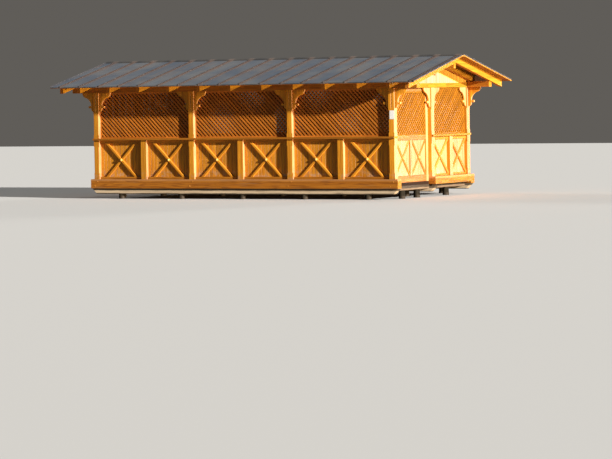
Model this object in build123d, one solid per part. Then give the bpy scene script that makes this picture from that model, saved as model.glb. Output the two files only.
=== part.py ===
"""Lakeside boathouse: a braced post-and-beam hut on short piles, with latticed upper walls,
a gate in one gable and a low standing-seam roof.

Millimetres, +Z up. The origin is the middle of the foot of the piles. The long front wall
faces -Y and the gated gable faces +X. Each wall is first drawn facing -Y, with u along it,
v = 0 at the outer face of its posts and v growing inwards, and is then turned into place.
"""
from build123d import *
from math import atan2, cos, degrees, radians, sqrt, tan
import os

os.makedirs("parts", exist_ok=True)

# Plan
POST = 160                 # square posts
BAY = 2920                 # long wall, post to post on centres
BAYS = 3
HALF_GABLE = 2040          # gable, corner post to middle post on centres

# Heights above the water line or above the top of the sills
SILL_TOP = 510
RAIL_TOP = 1067
PLATE_UNDERSIDE = 2260

# Base
SILL_HEIGHT = 236
SILL_PROUD = 40            # long sills beyond the post faces
SILL_END = 90              # and beyond the gable posts
GABLE_SILL_HEIGHT = 187
BEARER = 160
BEARER_HEIGHT = 148
BEARER_END = 80            # bearers beyond the gable posts
BEARER_RAKE = 45           # degrees off plumb
CROSS_BEAM = 160
CROSS_BEAM_HEIGHT = 108
CROSS_BEAM_INSET = 100     # outer face inside the gable posts' faces
PILE = 170                 # hewn to eight sides, across the corners
PILE_SPACING = 1830
JOIST = 75
JOIST_SPACING = 620
FLOOR = 33
THRESHOLD_HEIGHT = 72

# Lower panels
CAP = 52
CAP_PROUD = 45
CAP_END = 10
TOP_RAIL = 75
BOTTOM_RAIL = 62
RAIL_RECESS = 45
RAIL_THICKNESS = 48
BOARD = 22
BRACE = 67
BRACE_LAP = 12             # the second brace lies this much behind the first
BRACE_CHAMFER = 10
BOSS = 76                  # eight-sided knob on each crossing, across the corners
BOSS_RISE = 26

# Lattice
LATTICE_RECESS = 86
LATTICE_FRAME = 32
LATTICE_DEPTH = 44
SLAT = 40
SLAT_PITCH = 80            # square to the slats
SLAT_THICKNESS = 20
LAYER_GAP = 0.4
SLAT_ROOM = 0.4            # upper end of a slat to the rim
SLAT_STEP = 2              # the frame carries every second slat; the finer ones lie between

# Brackets
BRACKET_REACH = 350
BRACKET_DROP = 490
BRACKET_THICKNESS = 54
BRACKET_RECESS = 28
BRACKET_TIP = 35           # plumb drop at the tip
NOSE = 31                  # radius of the ball nose
ARC_CHORDS = 4

# Post trim
CHAMFER = 14
CHAMFER_STOP = 90          # square length left at each end
FLUTE = 22

# Roof
PLATE_HEIGHT = 140
PLATE_OUT = 640            # plates and ridge purlin beyond the gable posts
TIE_HEIGHT = 115
ROOF_PITCH = 13.2
RAFTER = 98
RAFTER_HEIGHT = 164        # square to the slope
RAFTERS = 11
RAFTER_OUT = 103            # end rafters, centre beyond the gable posts
FLYING_OUT = 635           # flying rafters, centre beyond the gable posts
SHEATHING = 27
METAL = 5
VERGE = 900
EAVE = 660
RAFTER_TAIL_BACK = 140     # tails inside the eave line
SHORT_TAIL = 25            # end rafters of the back slope, beyond the wall plate
SEAM_PITCH = 606
SEAM_FIRST = 113           # right-hand seam from the verge
SEAM = 14
SEAM_HEIGHT = 26
RIDGE_CAP = 120
PURLIN = 120
PURLIN_HEIGHT = 140
GABLE_BOARD_RECESS = 20

# Gate
GATE_RECESS = 107
GATE_GAP = 10              # round the leaf
GATE_STILE = 110
GATE_BOTTOM_RAIL = 167
GATE_MID_RAIL = 116
GATE_TOP_RAIL = 75
HINGE_OFFSET = 12          # axis inside the leaf's inner face
KNUCKLE_CLEARANCE = 2      # knuckles to the corner post
FLAP = 4
FLAP_DEPTH = 50            # flaps lie this far into the gap beside the leaf
PIN = 5                    # radius
PIN_CLEARANCE = 0.3
KNUCKLE = 10
KNUCKLE_LENGTH = 60
PINTLE = 26                # height of the block that holds the pin
PINTLE_GAP = 1             # block to eye
STRAP = 5
STRAP_WIDTH = 45
STRAP_LENGTH = 420

# Notice plate on the right-hand front post
PLAQUE = 130
PLAQUE_HEIGHT = 215
PLAQUE_THICKNESS = 4
PLAQUE_CENTRE = 1605       # above the sills
PLAQUE_SHIFT = 15          # towards the gable

# Worked out
LENGTH = BAYS * BAY + POST
WIDTH = 2 * HALF_GABLE + POST
SILL_FOOT = SILL_TOP - SILL_HEIGHT
CAP_TOP = SILL_TOP + RAIL_TOP
CAP_FOOT = CAP_TOP - CAP
PLATE_FOOT = SILL_TOP + PLATE_UNDERSIDE
PLATE_TOP = PLATE_FOOT + PLATE_HEIGHT
PILE_TOP = SILL_FOOT - BEARER_HEIGHT
GABLE_SILL_FOOT = SILL_TOP - GABLE_SILL_HEIGHT
THRESHOLD_TOP = GABLE_SILL_FOOT + THRESHOLD_HEIGHT
SLOPE = tan(radians(ROOF_PITCH))
KING_POST = POST - 2 * (GABLE_BOARD_RECESS + BOARD)
PLUMB = 1 / cos(radians(ROOF_PITCH))     # plumb depth of one unit square to the slope
RAFTER_UNDER = PLATE_TOP + SLOPE * HALF_GABLE
METAL_UNDER = RAFTER_UNDER + (RAFTER_HEIGHT + SHEATHING) * PLUMB
RIDGE = METAL_UNDER + METAL * PLUMB
POST_CENTRES = [(i - BAYS / 2) * BAY for i in range(BAYS + 1)]
EAVE_LINE = WIDTH / 2 + EAVE
VERGE_LINE = LENGTH / 2 + VERGE

MIN = (Align.MIN, Align.MIN, Align.MIN)


def beam(x0, x1, y0, y1, z0, z1):
    """A square-edged beam or board between the given limits."""
    return Pos(x0, y0, z0) * Box(x1 - x0, y1 - y0, z1 - z0, align=MIN)


def front(piece):
    return Pos(0, -WIDTH / 2, 0) * piece


def back(piece):
    return Rot(0, 0, 180) * front(piece)


def right(piece):
    return Rot(0, 0, 90) * Pos(0, -LENGTH / 2, 0) * piece


def left(piece):
    return Rot(0, 0, -90) * Pos(0, -LENGTH / 2, 0) * piece


def save(name, pieces):
    """Writes the solids of one node."""
    solids = [s for piece in pieces for s in piece.solids()]
    shape = solids[0] if len(solids) == 1 else Compound(solids)
    export_step(shape, f"parts/{name}.step")


def spread(length, spacing):
    """Even positions about the middle, no further apart than the spacing."""
    count = max(1, round(length / spacing))
    return [(i - count / 2) * length / count for i in range(count + 1)]


# Base

def raked_bearer(y):
    """A long bearer whose ends rake back towards the water."""
    top = LENGTH / 2 + BEARER_END
    foot = top - BEARER_HEIGHT * tan(radians(BEARER_RAKE))
    outline = Polyline((-foot, PILE_TOP), (foot, PILE_TOP), (top, SILL_FOOT),
                       (-top, SILL_FOOT), close=True)
    side = make_face(Plane.XZ * outline)
    return Pos(0, y + BEARER / 2, 0) * extrude(side, BEARER, dir=(0, -1, 0))


def base():
    rows = [-HALF_GABLE, 0, HALF_GABLE]
    inner = HALF_GABLE - POST / 2
    reach = 2 * PILE_SPACING
    pile = extrude(RegularPolygon(PILE / 2, 8), PILE_TOP)
    piles = [Pos(x, y, 0) * pile for y in rows for x in spread(2 * reach, PILE_SPACING)]
    cross_foot = GABLE_SILL_FOOT - CROSS_BEAM_HEIGHT
    stump = extrude(RegularPolygon(PILE / 2, 8), cross_foot)
    cross_centre = LENGTH / 2 - CROSS_BEAM_INSET - CROSS_BEAM / 2
    cross_beams = []
    for end in (-1, 1):
        for half in (-1, 1):
            middle = half * HALF_GABLE / 2
            span = inner - BEARER / 2
            x = end * cross_centre
            cross_beams.append(beam(x - CROSS_BEAM / 2, x + CROSS_BEAM / 2, middle - span / 2,
                                    middle + span / 2, cross_foot, GABLE_SILL_FOOT))
            under_gate = (end, half) == (1, -1)
            shifts = [-HALF_GABLE / 5, HALF_GABLE / 5] if under_gate else [0]
            piles += [Pos(x, middle + shift, 0) * stump for shift in shifts]
    save("piles", piles)
    save("bearers", [raked_bearer(y) for y in rows])
    save("cross_beams", cross_beams)

    joist_end = cross_centre - CROSS_BEAM / 2
    floor_end = LENGTH / 2 - POST
    joists = [beam(x - JOIST / 2, x + JOIST / 2, -inner, inner, SILL_FOOT, SILL_FOOT + JOIST)
              for x in spread(2 * joist_end - JOIST, JOIST_SPACING)]
    save("floor_joists", joists)
    save("floor_boards", [beam(-floor_end, floor_end, -inner, inner, SILL_FOOT + JOIST,
                               SILL_FOOT + JOIST + FLOOR)])

    sill = beam(-LENGTH / 2 - SILL_END, LENGTH / 2 + SILL_END, -SILL_PROUD, POST,
                SILL_FOOT, SILL_TOP)
    save("sill_front", [front(sill)])
    save("sill_back", [back(sill)])
    gable_sill = beam(-inner, inner, -SILL_END, POST, GABLE_SILL_FOOT, SILL_TOP)
    gated_sill = beam(-POST / 2, inner, -SILL_END, POST, GABLE_SILL_FOOT, SILL_TOP)
    save("sills_gable", [left(gable_sill), right(gated_sill)])
    save("threshold", [right(beam(-inner, -POST / 2, GATE_RECESS, POST, GABLE_SILL_FOOT,
                                  THRESHOLD_TOP))])


# Frame

def stop_chamfer(z0, z1):
    """Cutter for one arris, with a sloping stop at each end."""
    side = CHAMFER * sqrt(2)
    diamond = Rot(0, 0, 45) * Rectangle(side, side)
    stop = 0.95 * side / 2
    shaft = extrude(Pos(0, 0, z0 + stop) * diamond, z1 - z0 - 2 * stop)
    low = extrude(Pos(0, 0, z0 + stop) * diamond, -stop, taper=45)
    high = extrude(Pos(0, 0, z1 - stop) * diamond, stop, taper=45)
    return [shaft, low, high]


def main_post(arrises):
    """A post with stopped chamfers above and below the rail and a flute between the brackets.

    The arrises are the corners to chamfer, as (u, v).
    """
    post = beam(-POST / 2, POST / 2, 0, POST, SILL_TOP, PLATE_FOOT)
    spans = [(SILL_TOP + BOTTOM_RAIL + CHAMFER_STOP, CAP_FOOT - TOP_RAIL - CHAMFER_STOP),
             (CAP_TOP + CHAMFER_STOP, PLATE_FOOT - BRACKET_DROP - CHAMFER_STOP / 2)]
    cutters = [Pos(u, v, 0) * piece for z0, z1 in spans for piece in stop_chamfer(z0, z1)
               for u, v in arrises]
    groove = Rot(0, 0, 45) * Rectangle(FLUTE / sqrt(2), FLUTE / sqrt(2))
    foot = PLATE_FOOT - BRACKET_DROP
    cutters.append(extrude(Pos(0, 0, foot) * groove, BRACKET_DROP - CHAMFER_STOP / 2))
    return post - cutters


def posts():
    side = POST / 2
    outer = [(-side, 0), (side, 0)]
    post = main_post(outer)
    row = [Pos(POST_CENTRES[0], 0, 0) * main_post(outer + [(-side, POST)])]
    row += [Pos(x, 0, 0) * post for x in POST_CENTRES[1:-1]]
    row.append(Pos(POST_CENTRES[-1], 0, 0) * main_post(outer + [(side, POST)]))
    save("posts_front", [front(piece) for piece in row])
    save("posts_back", [back(piece) for piece in row])
    save("posts_gable", [right(post), left(post)])
    short = beam(-POST / 2, POST / 2, 0, POST, SILL_TOP, CAP_FOOT)
    bay_middles = [x + BAY / 2 for x in POST_CENTRES[:-1]]
    half = HALF_GABLE / 2
    save("short_posts", [turn(Pos(x, 0, 0) * short) for turn in (front, back)
                         for x in bay_middles]
         + [left(Pos(x, 0, 0) * short) for x in (-half, half)] + [right(Pos(half, 0, 0) * short)])


def arc_points(start, through, end):
    """Points along an arc, close enough to read as a curve, without its first one."""
    arc = ThreePointArc(start, through, end)
    return [arc @ (i / ARC_CHORDS) for i in range(1, ARC_CHORDS + 1)]


def bracket():
    """One carved bracket beside a post: u = 0 at the post, its top under the plate.

    From the tip it swells, hollows to a heel, carries a ball nose and runs out at the toe.
    """
    tip, knee = (BRACKET_REACH, -BRACKET_TIP), (0.71 * BRACKET_REACH, -0.255 * BRACKET_DROP)
    heel, neck = (0.25 * BRACKET_REACH, -0.61 * BRACKET_DROP), -0.75 * BRACKET_DROP
    low, toe = (0.25 * BRACKET_REACH, -0.82 * BRACKET_DROP), (0.09 * BRACKET_REACH, -BRACKET_DROP)
    swell = arc_points(tip, (0.89 * BRACKET_REACH, -0.19 * BRACKET_DROP), knee)
    hollow = arc_points(knee, (0.41 * BRACKET_REACH, -0.39 * BRACKET_DROP), heel)
    foot = arc_points(low, (0.19 * BRACKET_REACH, -0.935 * BRACKET_DROP), toe)
    edge = Polyline((0, 0), (BRACKET_REACH, 0), tip, *swell, *hollow, low, *foot,
                    (0, -BRACKET_DROP), close=True)
    ball = Pos(0.39 * BRACKET_REACH, neck) * RegularPolygon(NOSE, 8, rotation=22.5)
    stalk = Pos(0.3 * BRACKET_REACH, neck) * Rectangle(0.18 * BRACKET_REACH, 1.1 * NOSE)
    profile = make_face(edge) + stalk + ball
    solid = extrude(Plane.XZ * profile, BRACKET_THICKNESS, dir=(0, 1, 0))
    return Pos(POST / 2, BRACKET_RECESS, PLATE_FOOT) * solid


def brackets():
    """Brackets on both sides of every main post, out under the plate ends too."""
    one = bracket()
    pair = [one, mirror(one, Plane.YZ)]
    long_wall = [Pos(x, 0, 0) * side for x in POST_CENTRES for side in pair]
    corner = HALF_GABLE
    gable = pair + [Pos(-corner, 0, 0) * pair[0], Pos(corner, 0, 0) * pair[1]]
    save("brackets_front", [front(b) for b in long_wall])
    save("brackets_back", [back(b) for b in long_wall])
    save("brackets_gable", [turn(b) for turn in (right, left) for b in gable])


# Lower panels

def cap_rail(u0, u1, notches):
    """The moulded rail that runs in front of the posts and caps the panels."""
    rail = beam(u0, u1, -CAP_PROUD, POST, CAP_FOOT, CAP_TOP)
    nosing = rail.edges().filter_by(Axis.X).group_by(Axis.Y)[0]
    rail = chamfer(nosing, 8)
    cuts = [beam(u - POST / 2, u + POST / 2, 0, POST, CAP_FOOT, CAP_TOP) for u in notches]
    return rail - cuts


def panel_field(width):
    """Half a bay's lower panel about u = 0: rails, boards and the knobbed cross."""
    foot, head = SILL_TOP + BOTTOM_RAIL, CAP_FOOT - TOP_RAIL
    face = RAIL_RECESS
    back_face = RAIL_RECESS + RAIL_THICKNESS
    rails = [beam(-width / 2, width / 2, face, back_face, SILL_TOP, foot),
             beam(-width / 2, width / 2, face, back_face, head, CAP_FOOT)]
    boards = beam(-width / 2, width / 2, back_face, back_face + BOARD, SILL_TOP, CAP_FOOT)
    cross = knobbed_cross(width, foot, head, face, RAIL_THICKNESS)
    return rails, boards, cross


def knobbed_cross(width, foot, head, face, depth):
    """Two chamfered braces at 45 degrees or at the opening's own diagonal, with a turned knob."""
    height = head - foot
    run = min(width, height)
    length = sqrt(run ** 2 + height ** 2) + 2 * BRACE
    middle = (foot + head) / 2
    turn = degrees(atan2(height, run))

    def brace(angle, recess):
        bar = Box(length, depth - recess, BRACE)
        edges = bar.edges().filter_by(Axis.X).group_by(Axis.Y)[0]
        bar = chamfer(edges, BRACE_CHAMFER)
        return Pos(0, face + recess + (depth - recess) / 2, middle) * Rot(0, angle, 0) * bar
    window = beam(-width / 2, width / 2, face - 1, face + depth, foot, head)
    cross = (brace(turn, 0) + brace(-turn, BRACE_LAP)) & window
    return cross + Pos(0, face, middle) * Rot(90, 0, 0) * knob()


def knob():
    """An eight-sided knob with its face cut to a low point, its foot sunk in the brace."""
    sunk, rim = BRACE_LAP / 2, BOSS_RISE / 3
    shank = extrude(Pos(0, 0, -sunk) * RegularPolygon(BOSS / 2, 8), sunk + rim)
    return shank + extrude(Pos(0, 0, rim) * RegularPolygon(BOSS / 2, 8), BOSS_RISE - rim, taper=48)


def lower_panels():
    inner_long = BAY / 2 - POST
    inner_gable = HALF_GABLE / 2 - POST
    long_field = panel_field(inner_long)
    gable_field = panel_field(inner_gable)
    step = BAY / 4
    long_spots = [x + BAY / 2 + s * step for x in POST_CENTRES[:-1] for s in (-1, 1)]
    half = HALF_GABLE / 4
    gable_spots = [m + s * half for m in (-HALF_GABLE / 2, HALF_GABLE / 2) for s in (-1, 1)]
    layouts = {"front": [(front, long_field, long_spots)],
               "back": [(back, long_field, long_spots)],
               "gable": [(left, gable_field, gable_spots), (right, gable_field, gable_spots[2:])]}
    for name, walls in layouts.items():
        rails, boards, crosses = [], [], []
        for turn, (field_rails, field_boards, cross), spots in walls:
            for u in spots:
                rails += [turn(Pos(u, 0, 0) * rail) for rail in field_rails]
                boards.append(turn(Pos(u, 0, 0) * field_boards))
                crosses.append(turn(Pos(u, 0, 0) * cross))
        save(f"panel_rails_{name}", rails)
        save(f"panel_boards_{name}", boards)
        save(f"cross_braces_{name}", crosses)
    end = LENGTH / 2 + CAP_END
    inner = HALF_GABLE - POST / 2
    long_cap = cap_rail(-end, end, POST_CENTRES)
    save("cap_rails", [front(long_cap), back(long_cap), left(cap_rail(-inner, inner, [0])),
                       right(cap_rail(-POST / 2, inner, [0]))])


# Lattice

def slat_layer(width, height, lean):
    """One layer's carrying slats across an opening, drawn about its middle.

    A slat is housed in the rim at its lower end and has room to move at its upper one.
    """
    pitch = SLAT_STEP * SLAT_PITCH * sqrt(2)
    count = int((width + height) / pitch / 2) + 1
    bar = Rot(0, 0, lean * 45) * Rectangle(2 * (width + height), SLAT)
    slats = Sketch() + [Pos(i * pitch, 0) * bar for i in range(-count, count + 1)]
    housing = LATTICE_FRAME / 4
    window = Rectangle(width + housing - SLAT_ROOM, height + housing - SLAT_ROOM)
    shift = (housing + SLAT_ROOM) / 2
    return slats & (Pos(-lean * shift, -shift) * window)


def lattice_panel(width, height, lean):
    """A slim frame with two crossed layers of slats, the outer one leaning as told.

    Its foot is at z = 0 and its outer face at v = LATTICE_RECESS.
    """
    hole_width, hole_height = width - 2 * LATTICE_FRAME, height - 2 * LATTICE_FRAME
    rim = Rectangle(width, height) - Rectangle(hole_width, hole_height)
    frame = extrude(Plane.XZ * rim, LATTICE_DEPTH, dir=(0, 1, 0))
    outer = (LATTICE_DEPTH - LAYER_GAP) / 2 - SLAT_THICKNESS
    for side, depth in ((lean, outer), (-lean, outer + SLAT_THICKNESS + LAYER_GAP)):
        drawing = slat_layer(hole_width, hole_height, side)
        frame += Pos(0, depth, 0) * extrude(Plane.XZ * drawing, SLAT_THICKNESS, dir=(0, 1, 0))
    return Pos(0, LATTICE_RECESS, height / 2) * frame


def lattices():
    height = PLATE_FOOT - CAP_TOP
    long_panel = Pos(0, 0, CAP_TOP) * lattice_panel(BAY - POST, height, -1)
    gable_panel = Pos(0, 0, CAP_TOP) * lattice_panel(HALF_GABLE - POST, height, 1)
    bay_middles = [x + BAY / 2 for x in POST_CENTRES[:-1]]
    half = HALF_GABLE / 2
    save("lattice_front", [front(Pos(x, 0, 0) * long_panel) for x in bay_middles])
    save("lattice_back", [back(Pos(x, 0, 0) * long_panel) for x in bay_middles])
    save("lattice_left", [left(Pos(u, 0, 0) * gable_panel) for u in (-half, half)])
    save("lattice_right", [right(Pos(half, 0, 0) * gable_panel)])


# Roof

def roof_z(y):
    """Top of the metal at a distance from the ridge line."""
    return RIDGE - SLOPE * abs(y)


def slope_band(y0, y1, top, bottom, x0, x1):
    """A layer of the front slope, its depths measured plumb below the metal's top."""
    corners = [(-y0, roof_z(y0) - top), (-y1, roof_z(y1) - top),
               (-y1, roof_z(y1) - bottom), (-y0, roof_z(y0) - bottom)]
    section = make_face(Plane.YZ * Polyline(*corners, close=True))
    return Pos(x0, 0, 0) * extrude(section, x1 - x0, dir=(1, 0, 0))


def roof():
    plate = beam(-LENGTH / 2 - PLATE_OUT, LENGTH / 2 + PLATE_OUT, 0, POST, PLATE_FOOT, PLATE_TOP)
    plates = [front(plate), back(plate)]
    save("wall_plates", plates)
    inner = HALF_GABLE - POST / 2
    tie_top = PLATE_FOOT + TIE_HEIGHT
    ties = [beam(x - POST / 2, x + POST / 2, -inner, inner, PLATE_FOOT, tie_top)
            for x in POST_CENTRES]
    save("tie_beams", ties)
    purlin_top = RAFTER_UNDER
    purlin_foot = purlin_top - PURLIN_HEIGHT
    purlin_end = LENGTH / 2 + PLATE_OUT
    purlin = beam(-purlin_end, purlin_end, -PURLIN / 2, PURLIN / 2, purlin_foot, purlin_top)
    save("ridge_purlin", [purlin])
    save("king_posts", [beam(x - KING_POST / 2, x + KING_POST / 2, -KING_POST / 2, KING_POST / 2,
                             tie_top, purlin_foot) for x in POST_CENTRES])

    metal, deck = METAL * PLUMB, (METAL + SHEATHING) * PLUMB
    rafter_foot = deck + RAFTER_HEIGHT * PLUMB
    half = LENGTH / 2
    run = [(i / (RAFTERS - 1) * 2 - 1) * (half + RAFTER_OUT) for i in range(RAFTERS)]
    spots = [-half - FLYING_OUT] + run + [half + FLYING_OUT]
    tail = EAVE_LINE - RAFTER_TAIL_BACK

    def rafter(x, reach):
        side = slope_band(0, reach, deck, rafter_foot, x - RAFTER / 2, x + RAFTER / 2)
        return side - [plates[0], purlin]
    front_rafters = [rafter(x, tail) for x in spots]
    back_rafters = [rafter(x, WIDTH / 2 + SHORT_TAIL if x in (run[0], run[-1]) else tail)
                    for x in spots]
    deck_front = slope_band(0, EAVE_LINE, metal, deck, -VERGE_LINE, VERGE_LINE)
    sheet = slope_band(0, EAVE_LINE, 0, metal, -VERGE_LINE, VERGE_LINE)
    first = VERGE_LINE - SEAM_FIRST
    seams = [first - i * SEAM_PITCH for i in range(int((first + VERGE_LINE) / SEAM_PITCH) + 1)]
    seams += [end * (VERGE_LINE - SEAM / 2) for end in (-1, 1)]
    ribs = [slope_band(RIDGE_CAP, EAVE_LINE, -SEAM_HEIGHT, metal / 2, x - SEAM / 2, x + SEAM / 2)
            for x in seams]
    sheet += ribs
    slopes = [("front", lambda p: p, front_rafters),
              ("back", lambda p: mirror(p, Plane.XZ), back_rafters)]
    for name, turn, rafters in slopes:
        save(f"rafters_{name}", [turn(r) for r in rafters])
        save(f"sheathing_{name}", [turn(deck_front)])
        save(f"roof_{name}", [turn(sheet)])
    cap = slope_band(0, RIDGE_CAP, -SEAM_HEIGHT, 0, -VERGE_LINE, VERGE_LINE)
    save("ridge_cap", [cap + mirror(cap, Plane.XZ)])

    deck_under = RIDGE - deck
    wall = WIDTH / 2
    corners = [(-wall, tie_top), (wall, tie_top), (wall, deck_under - SLOPE * wall),
               (0, deck_under), (-wall, deck_under - SLOPE * wall)]
    field = extrude(make_face(Plane.YZ * Polyline(*corners, close=True)), BOARD, dir=(1, 0, 0))
    field = Pos(half - GABLE_BOARD_RECESS - BOARD, 0, 0) * field - plates - [purlin]
    save("gable_boards", [field, mirror(field, Plane.YZ)])


# Gate, in the bay beside the front corner of the right gable; it opens inwards

GATE_HINGE_U = -HALF_GABLE + POST / 2 + KNUCKLE + KNUCKLE_CLEARANCE
GATE_OUTER = -HALF_GABLE + POST / 2 + GATE_GAP
GATE_INNER = -POST / 2 - GATE_GAP
GATE_FOOT = THRESHOLD_TOP + GATE_GAP
GATE_HEAD = PLATE_FOOT - GATE_GAP


def hinge_heights():
    """Middle of each hinge: on the bottom, middle and top rails."""
    low = GATE_FOOT + GATE_BOTTOM_RAIL / 2
    return [z - KNUCKLE_LENGTH / 2 for z in
            (low, CAP_TOP - GATE_MID_RAIL / 2, GATE_HEAD - GATE_TOP_RAIL / 2)]


def gate():
    depth = POST - GATE_RECESS
    u0, u1, z0, z1 = GATE_OUTER, GATE_INNER, GATE_FOOT, GATE_HEAD
    bottom, mid, top = z0 + GATE_BOTTOM_RAIL, CAP_TOP - GATE_MID_RAIL, z1 - GATE_TOP_RAIL
    middle = (u0 + u1) / 2
    panel = (u1 - u0 - 3 * GATE_STILE) / 2
    frame = beam(u0, u1, GATE_RECESS, POST, z0, z1)
    first, second = u0 + GATE_STILE, middle + GATE_STILE / 2
    for start in (first, second):
        frame -= beam(start, start + panel, GATE_RECESS, POST, bottom, mid)
    frame -= beam(first, u1 - GATE_STILE, GATE_RECESS, POST, CAP_TOP, top)
    save("gate_frame", [right(frame)])
    board_face = POST - BOARD
    boards = [beam(s, s + panel, board_face, POST, bottom, mid) for s in (first, second)]
    save("gate_boards", [right(b) for b in boards])
    cross = knobbed_cross(panel, bottom, mid, GATE_RECESS + 2, board_face - GATE_RECESS - 2)
    save("gate_braces", [right(Pos(s + panel / 2, 0, 0) * cross) for s in (first, second)])
    lattice = lattice_panel(u1 - u0 - 2 * GATE_STILE, top - CAP_TOP, 1)
    shift = POST - LATTICE_DEPTH - LATTICE_RECESS
    save("gate_lattice", [right(Pos(middle, shift, CAP_TOP) * lattice)])

    save("gate_straps", [right(hinge_spot(z) * strap()) for z in hinge_heights()])
    save("gate_pins", [right(hinge_spot(z) * pintle()) for z in hinge_heights()])


def hinge_spot(z):
    return Pos(GATE_HINGE_U, POST + HINGE_OFFSET, z)


def strap():
    """Long strap on the leaf's inner face with an eye that drops over the pin."""
    eye = extrude(RegularPolygon(KNUCKLE, 8, rotation=22.5), KNUCKLE_LENGTH)
    foot = (KNUCKLE_LENGTH - STRAP_WIDTH) / 2
    band = beam(0, STRAP_LENGTH, -HINGE_OFFSET, STRAP - HINGE_OFFSET, foot, foot + STRAP_WIDTH)
    return eye + band - Cylinder(PIN + PIN_CLEARANCE, 3 * KNUCKLE_LENGTH)


def pintle():
    """Pin on a block whose flap is let into the gap beside the leaf."""
    edge = -KNUCKLE - KNUCKLE_CLEARANCE
    top = -PINTLE_GAP
    block = beam(edge, KNUCKLE, -PIN, PIN, top - PINTLE, top)
    flap = beam(edge, edge + FLAP, -HINGE_OFFSET - FLAP_DEPTH, PIN, top - STRAP_WIDTH, top)
    pin = Pos(0, 0, top - PINTLE / 2) * Cylinder(PIN, KNUCKLE_LENGTH + PINTLE / 2,
                                                 align=(Align.CENTER, Align.CENTER, Align.MIN))
    return block + flap + pin


def notice_plate():
    x = POST_CENTRES[-1] + PLAQUE_SHIFT
    z = SILL_TOP + PLAQUE_CENTRE
    plaque = beam(x - PLAQUE / 2, x + PLAQUE / 2, -PLAQUE_THICKNESS, 0,
                  z - PLAQUE_HEIGHT / 2, z + PLAQUE_HEIGHT / 2)
    save("notice_plate", [front(plaque)])


base()
posts()
brackets()
lower_panels()
lattices()
roof()
gate()
notice_plate()
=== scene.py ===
"""Lakeside boathouse: finishes, boarding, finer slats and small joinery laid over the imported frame.

Metres, +Z up. Each wall is first drawn facing -Y, with u along it and v growing inwards from
the outer face of its posts, and is then turned into place, as in the frame's own source.
"""

from cmath import phase, rect
from math import ceil, cos, floor, pi, radians, sin, sqrt, tan

import bmesh
import bpy
from mathutils import Matrix, Vector, noise


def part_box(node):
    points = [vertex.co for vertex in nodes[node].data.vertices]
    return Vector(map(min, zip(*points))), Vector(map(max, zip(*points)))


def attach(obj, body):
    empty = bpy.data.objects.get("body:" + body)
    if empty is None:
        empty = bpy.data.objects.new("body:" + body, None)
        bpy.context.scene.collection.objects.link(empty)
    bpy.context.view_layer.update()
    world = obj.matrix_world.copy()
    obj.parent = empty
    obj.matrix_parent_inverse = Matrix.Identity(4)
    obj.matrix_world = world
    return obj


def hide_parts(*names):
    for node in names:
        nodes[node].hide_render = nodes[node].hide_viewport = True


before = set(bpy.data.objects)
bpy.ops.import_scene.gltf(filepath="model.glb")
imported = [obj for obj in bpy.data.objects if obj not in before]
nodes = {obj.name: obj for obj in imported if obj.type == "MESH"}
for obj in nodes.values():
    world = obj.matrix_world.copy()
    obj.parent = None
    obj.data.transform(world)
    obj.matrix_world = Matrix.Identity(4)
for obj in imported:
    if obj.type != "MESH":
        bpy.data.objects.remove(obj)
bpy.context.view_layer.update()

# Plan and heights
POST = 0.160  # square
BAY = 2.920  # long wall, post to post on centres
BAYS = 3
HALF_GABLE = 2.040  # gable, corner post to middle post on centres
LENGTH = BAYS * BAY + POST
WIDTH = 2 * HALF_GABLE + POST
SILL_FOOT, SILL_TOP = 0.274, 0.510
CAP_FOOT, CAP_TOP = 1.525, 1.577
PLATE_FOOT = 2.770
BAY_MIDDLES = [(i - (BAYS - 1) / 2) * BAY for i in range(BAYS)]
POST_CENTRES = [(i - BAYS / 2) * BAY for i in range(BAYS + 1)]
GABLE_POSTS = [-HALF_GABLE, 0, HALF_GABLE]
GABLE_MIDDLES = [-HALF_GABLE / 2, HALF_GABLE / 2]

# Gate
GATE_STILE = 0.110
GATE_BOTTOM_RAIL, GATE_MID_RAIL, GATE_TOP_RAIL = 0.167, 0.116, 0.075
GATE_FOOT, GATE_HEAD = 0.405, 2.760
GATE_SLACK = 0.010  # between its stiles and the posts
GATE_U = (-HALF_GABLE + POST / 2 + GATE_SLACK, -POST / 2 - GATE_SLACK)
GATE_WIDTH = GATE_U[1] - GATE_U[0]
GATE_MIDDLE = (GATE_U[0] + GATE_U[1]) / 2
GATE_PANEL = (GATE_WIDTH - 3 * GATE_STILE) / 2
GATE_RAILS = ((GATE_FOOT, GATE_FOOT + GATE_BOTTOM_RAIL), (CAP_TOP - GATE_MID_RAIL, CAP_TOP),
              (GATE_HEAD - GATE_TOP_RAIL, GATE_HEAD))
GATE_LATTICE_HEAD = GATE_RAILS[2][0]
GATE_SPAN = (GATE_RAILS[0][1], GATE_RAILS[1][0])  # of its boarding

# Lower panels. A face is how far in a thing lies, a span its foot and head.
BOTTOM_RAIL, TOP_RAIL = 0.062, 0.075
BOARD, PANEL_BOARD = 0.022, 0.098  # thickness, and the width aimed at
BOARD_FACE, GATE_BOARD_FACE = 0.093, POST - BOARD
BRACE_FACE, GATE_BRACE_FACE = 0.045, 0.109
SPAN = (SILL_TOP, CAP_FOOT)
CROSS_MIDDLE = (SILL_TOP + BOTTOM_RAIL + CAP_FOOT - TOP_RAIL) / 2

# Lattice
LATTICE_FRAME, LATTICE_DEPTH, LATTICE_RECESS = 0.032, 0.044, 0.086
GATE_RECESS = POST - LATTICE_DEPTH
SLAT, SLAT_THICKNESS, LAYER_GAP = 0.040, 0.020, 0.0004
SLAT_SPACING = 4 * SLAT * sqrt(2)  # along the wall, between the frame's own slats
SLAT_REACH = 0.020  # into the rim at each end
SHORTEST = 0.02  # slat that is laid, before its reach
OUTER_LAYER = LATTICE_RECESS + (LATTICE_DEPTH - LAYER_GAP) / 2 - SLAT_THICKNESS / 2

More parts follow.
